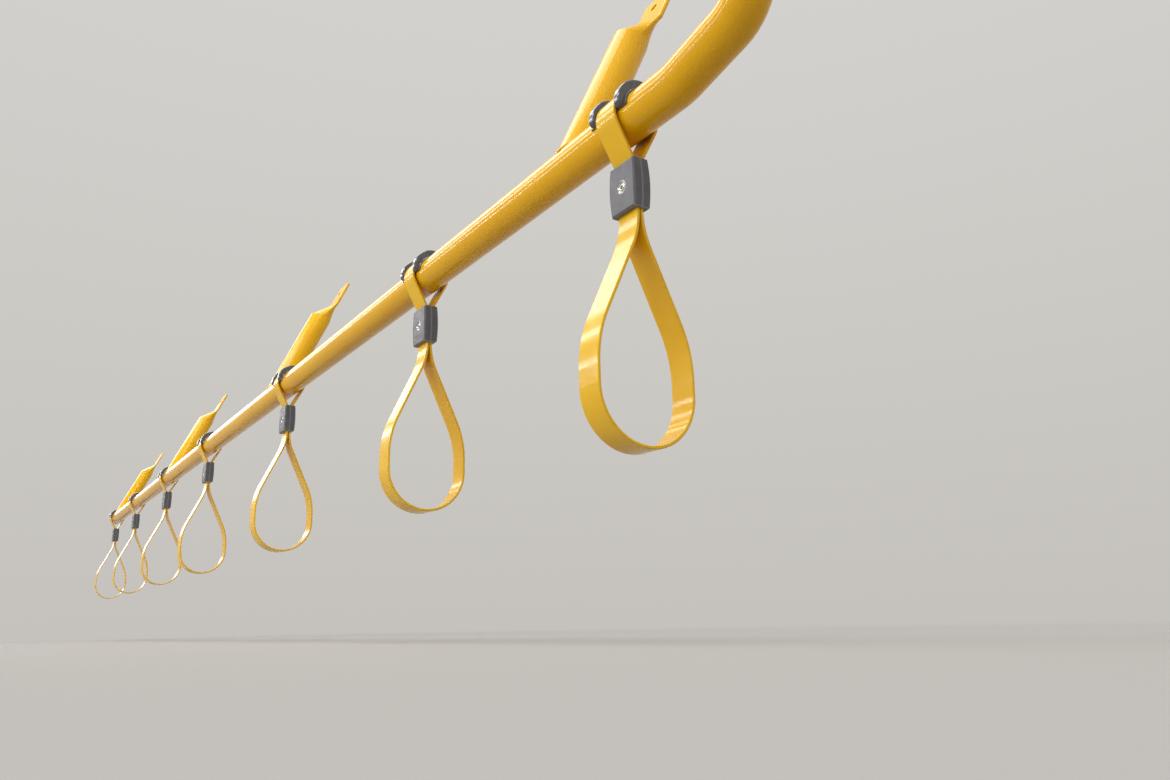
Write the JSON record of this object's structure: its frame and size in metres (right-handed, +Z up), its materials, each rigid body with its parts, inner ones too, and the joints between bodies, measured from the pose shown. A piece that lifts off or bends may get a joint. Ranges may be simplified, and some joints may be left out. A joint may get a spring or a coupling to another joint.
{
  "type": "overhead grab rail with hanging strap handles",
  "caption": "Overhead passenger grab rail of bent tube on leaning brackets, with hanging strap handles that swing on it.",
  "frame": {"origin": "bolt hole of the first bracket, on the face of its flattened end that meets the vehicle", "axes": "+X along the rail towards its cranked end, +Y towards the side wall, +Z up"},
  "size_m": [3.1283, 0.159, 0.4872],
  "materials": {
    "rail_enamel": "gloss powder coat",
    "strap_plastic": "smooth moulded",
    "saddle_plastic": "polished moulded",
    "buckle_plastic": "fine satin moulded"
  },
  "bodies": {
    "rail_frame": {"rail": "rail_enamel", "ceiling_flange": "rail_enamel", "end_cap": "rail_enamel", "bracket_1": "rail_enamel", "bracket_2": "rail_enamel", "bracket_3": "rail_enamel", "bracket_4": "rail_enamel", "saddle_1": "saddle_plastic", "saddle_2": "saddle_plastic", "saddle_3": "saddle_plastic", "saddle_4": "saddle_plastic", "saddle_5": "saddle_plastic", "saddle_6": "saddle_plastic", "saddle_7": "saddle_plastic"},
    "strap_1": {"strap_band_1": "strap_plastic", "buckle_front_1": "buckle_plastic", "buckle_back_1": "buckle_plastic"},
    "strap_2": {"strap_band_2": "strap_plastic", "buckle_front_2": "buckle_plastic", "buckle_back_2": "buckle_plastic"},
    "strap_3": {"strap_band_3": "strap_plastic", "buckle_front_3": "buckle_plastic", "buckle_back_3": "buckle_plastic"},
    "strap_4": {"strap_band_4": "strap_plastic", "buckle_front_4": "buckle_plastic", "buckle_back_4": "buckle_plastic"},
    "strap_5": {"strap_band_5": "strap_plastic", "buckle_front_5": "buckle_plastic", "buckle_back_5": "buckle_plastic"},
    "strap_6": {"strap_band_6": "strap_plastic", "buckle_front_6": "buckle_plastic", "buckle_back_6": "buckle_plastic"},
    "strap_7": {"strap_band_7": "strap_plastic", "buckle_front_7": "buckle_plastic", "buckle_back_7": "buckle_plastic"}
  },
  "joints": [
    {"name": "strap_1_swing", "type": "hinge", "parent": "rail_frame", "child": "strap_1", "pos_m": [0.079, -0.10678, -0.20178], "axis": [1, 0, 0], "range_deg": [-90, 90]},
    {"name": "strap_2_swing", "type": "hinge", "parent": "rail_frame", "child": "strap_2", "pos_m": [-0.307, -0.10678, -0.20178], "axis": [1, 0, 0], "range_deg": [-90, 90]},
    {"name": "strap_3_swing", "type": "hinge", "parent": "rail_frame", "child": "strap_3", "pos_m": [-0.84, -0.10678, -0.20178], "axis": [1, 0, 0], "range_deg": [-90, 90]},
    {"name": "strap_4_swing", "type": "hinge", "parent": "rail_frame", "child": "strap_4", "pos_m": [-1.412, -0.10678, -0.20178], "axis": [1, 0, 0], "range_deg": [-90, 90]},
    {"name": "strap_5_swing", "type": "hinge", "parent": "rail_frame", "child": "strap_5", "pos_m": [-1.883, -0.10678, -0.20178], "axis": [1, 0, 0], "range_deg": [-90, 90]},
    {"name": "strap_6_swing", "type": "hinge", "parent": "rail_frame", "child": "strap_6", "pos_m": [-2.385, -0.10678, -0.20178], "axis": [1, 0, 0], "range_deg": [-90, 90]},
    {"name": "strap_7_swing", "type": "hinge", "parent": "rail_frame", "child": "strap_7", "pos_m": [-2.816, -0.10678, -0.20178], "axis": [1, 0, 0], "range_deg": [-90, 90]}
  ]
}
